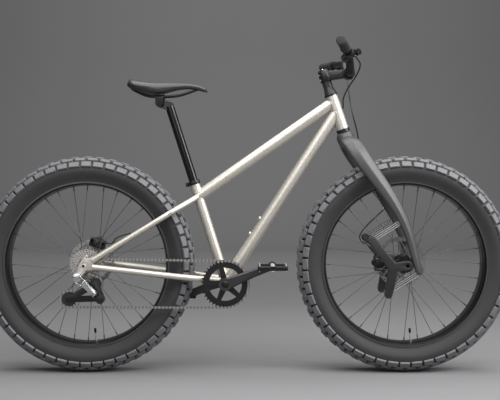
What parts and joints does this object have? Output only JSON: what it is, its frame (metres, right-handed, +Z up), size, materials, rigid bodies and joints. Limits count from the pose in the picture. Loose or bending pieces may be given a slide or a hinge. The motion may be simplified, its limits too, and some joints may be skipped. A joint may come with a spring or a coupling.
{
  "type": "fat tire bike",
  "caption": "Rigid-frame fat tire bicycle with wide knobbly tyres, a leaf spring fork, disc brakes, riser handlebar and a chain drive with a rear derailleur.",
  "frame": {"origin": "on the ground, midway between the two axles, in the middle plane", "axes": "+X forward, +Y to the rider's left, +Z up"},
  "size_m": [1.8738, 0.7638, 1.1329],
  "materials": {
    "titanium": "satin bare titanium",
    "black_metal": "satin black anodised",
    "black_rim": "satin black",
    "black_steel": "black",
    "carbon": "matte dark grey carbon",
    "tread": "matte rubber",
    "grip_rubber": "matte rubber",
    "saddle_cover": "smooth black cover",
    "black_plastic": "matte black",
    "silver": "silver",
    "dark_crank": "dark grey satin",
    "steel": "bright steel"
  },
  "bodies": {
    "frame": {"head_tube": "titanium", "top_tube": "titanium", "down_tube": "titanium", "seat_tube": "titanium", "bottom_bracket_shell": "titanium", "chainstays": "titanium", "seatstays": "titanium", "rear_dropouts": "titanium", "seat_collar": "black_metal", "bearing_cups": "black_metal", "rear_axle": "black_steel", "rear_brake_caliper": "black_metal", "rear_brake_hose": "grip_rubber", "chain": "steel", "derailleur_fixed_knuckle": "silver"},
    "seatpost": {"seatpost": "black_metal"},
    "saddle": {"saddle_clamp": "black_metal", "saddle_rails": "black_steel", "saddle_shell": "black_plastic", "saddle_pad": "saddle_cover"},
    "steering": {"fork": "carbon", "headset_spacers": "black_metal", "stem": "black_metal", "stem_faceplate": "black_metal", "handlebar": "black_metal", "grips": "grip_rubber", "brake_lever_bodies": "black_metal", "shift_pod": "black_metal", "front_brake_hose": "grip_rubber", "leaf_springs": "carbon"},
    "lever_right": {"brake_lever_right": "silver"},
    "lever_left": {"brake_lever_left": "silver"},
    "shift_paddle": {"shift_paddle": "black_plastic"},
    "axle_carrier": {"fork_carriers": "carbon", "front_axle": "black_steel", "front_brake_caliper": "black_metal"},
    "front_wheel": {"front_tyre": "tread", "front_rim": "black_rim", "front_spokes": "black_steel", "front_hub": "black_metal", "front_rotor": "steel", "front_valve": "black_steel"},
    "rear_wheel": {"rear_tyre": "tread", "rear_rim": "black_rim", "rear_spokes": "black_steel", "rear_hub": "black_metal", "rear_rotor": "steel", "rear_valve": "black_steel"},
    "crankset": {"crank_arms": "dark_crank", "chainring": "black_metal", "pedal_axles": "black_steel"},
    "pedal_right": {"pedal_right": "silver"},
    "pedal_left": {"pedal_left": "silver"},
    "cassette": {"cassette": "steel"},
    "outer_link": {"derailleur_outer_link": "silver"},
    "inner_link": {"derailleur_inner_link": "silver"},
    "moving_knuckle": {"derailleur_moving_knuckle": "black_metal"},
    "cage": {"derailleur_cage": "black_metal"},
    "pulley_upper": {"pulley_upper": "black_plastic"},
    "pulley_lower": {"pulley_lower": "black_plastic"}
  },
  "joints": [
    {"name": "steering", "type": "hinge", "parent": "frame", "child": "steering", "pos_m": [0.341, 0, 0.8545], "axis": [-0.3256, 0, 0.9455], "range_deg": [-60, 60], "deforming": ["rear_brake_hose"]},
    {"name": "fork_travel", "type": "slide", "parent": "steering", "child": "axle_carrier", "axis": [-0.5299, 0, 0.848], "range_m": [0, 0.05], "stiffness_N_per_m": 18000, "springref_m": -0.01, "deforming": ["leaf_springs", "front_brake_hose"]},
    {"name": "front_wheel_spin", "type": "hinge", "parent": "axle_carrier", "child": "front_wheel", "pos_m": [0.557, 0, 0.38], "axis": [0, 1, 0], "continuous": true},
    {"name": "rear_wheel_spin", "type": "hinge", "parent": "frame", "child": "rear_wheel", "pos_m": [-0.557, 0, 0.38], "axis": [0, 1, 0], "continuous": true},
    {"name": "crank_spin", "type": "hinge", "parent": "frame", "child": "crankset", "pos_m": [-0.071, 0, 0.315], "axis": [0, 1, 0], "continuous": true, "deforming": ["chain"]},
    {"name": "pedal_right_spin", "type": "hinge", "parent": "crankset", "child": "pedal_right", "pos_m": [0.09126, -0.16, 0.38056], "axis": [0, 1, 0], "continuous": true},
    {"name": "pedal_left_spin", "type": "hinge", "parent": "crankset", "child": "pedal_left", "pos_m": [-0.23326, 0.16, 0.24944], "axis": [0, 1, 0], "continuous": true},
    {"name": "cassette_spin", "type": "hinge", "parent": "frame", "child": "cassette", "pos_m": [-0.557, -0.06, 0.38], "axis": [0, 1, 0], "continuous": true},
    {"name": "shift_swing", "type": "hinge", "parent": "frame", "child": "outer_link", "pos_m": [-0.55681, -0.1266, 0.32378], "axis": [0.6885, 0, 0.7252], "range_deg": [0, 42]},
    {"name": "inner_link_swing", "type": "hinge", "parent": "frame", "child": "inner_link", "pos_m": [-0.55681, -0.1136, 0.32378], "axis": [0.6885, 0, 0.7252], "range_deg": [0, 42]},
    {"name": "knuckle_swing", "type": "hinge", "parent": "outer_link", "child": "moving_knuckle", "pos_m": [-0.51619, -0.1266, 0.28522], "axis": [0.6885, 0, 0.7252], "range_deg": [-42, 0]},
    {"name": "cage_swing", "type": "hinge", "parent": "moving_knuckle", "child": "cage", "pos_m": [-0.497, -0.115, 0.267], "axis": [0, -1, 0], "range_deg": [0, 58.8]},
    {"name": "pulley_upper_spin", "type": "hinge", "parent": "cage", "child": "pulley_upper", "pos_m": [-0.5185, -0.08, 0.31678], "axis": [0, 1, 0], "continuous": true},
    {"name": "pulley_lower_spin", "type": "hinge", "parent": "cage", "child": "pulley_lower", "pos_m": [-0.61197, -0.08, 0.26384], "axis": [0, 1, 0], "continuous": true},
    {"name": "post_slide", "type": "slide", "parent": "frame", "child": "seatpost", "axis": [-0.304, 0, 0.9527], "range_m": [-0.15, 0.03]},
    {"name": "saddle_tilt", "type": "hinge", "parent": "seatpost", "child": "saddle", "pos_m": [-0.303, 0, 0.945], "axis": [0, 1, 0], "range_deg": [-10, 10]},
    {"name": "brake_right", "type": "hinge", "parent": "steering", "child": "lever_right", "pos_m": [0.36314, -0.25016, 1.09045], "axis": [-0.4066, 0.0286, -0.9132], "range_deg": [0, 18], "stiffness_Nm_per_rad": 1.5, "springref_deg": -5.73},
    {"name": "brake_left", "type": "hinge", "parent": "steering", "child": "lever_left", "pos_m": [0.36314, 0.25016, 1.09045], "axis": [0.4066, 0.0286, 0.9132], "range_deg": [0, 18], "stiffness_Nm_per_rad": 1.5, "springref_deg": -5.73},
    {"name": "shift_push", "type": "hinge", "parent": "steering", "child": "shift_paddle", "pos_m": [0.32616, -0.20108, 1.08218], "axis": [0.2052, 0.9768, -0.0608], "range_deg": [0, 12], "stiffness_Nm_per_rad": 0.5, "springref_deg": -8.59}
  ],
  "couplings": [
    {"joint": "cassette_spin", "follows": "crank_spin", "ratio": 3.6364},
    {"joint": "pulley_upper_spin", "follows": "crank_spin", "ratio": -3.3333},
    {"joint": "pulley_lower_spin", "follows": "crank_spin", "ratio": 2.8571},
    {"joint": "inner_link_swing", "follows": "shift_swing", "ratio": 1},
    {"joint": "knuckle_swing", "follows": "shift_swing", "ratio": -1},
    {"joint": "cage_swing", "follows": "shift_swing", "ratio": 1.4}
  ]
}
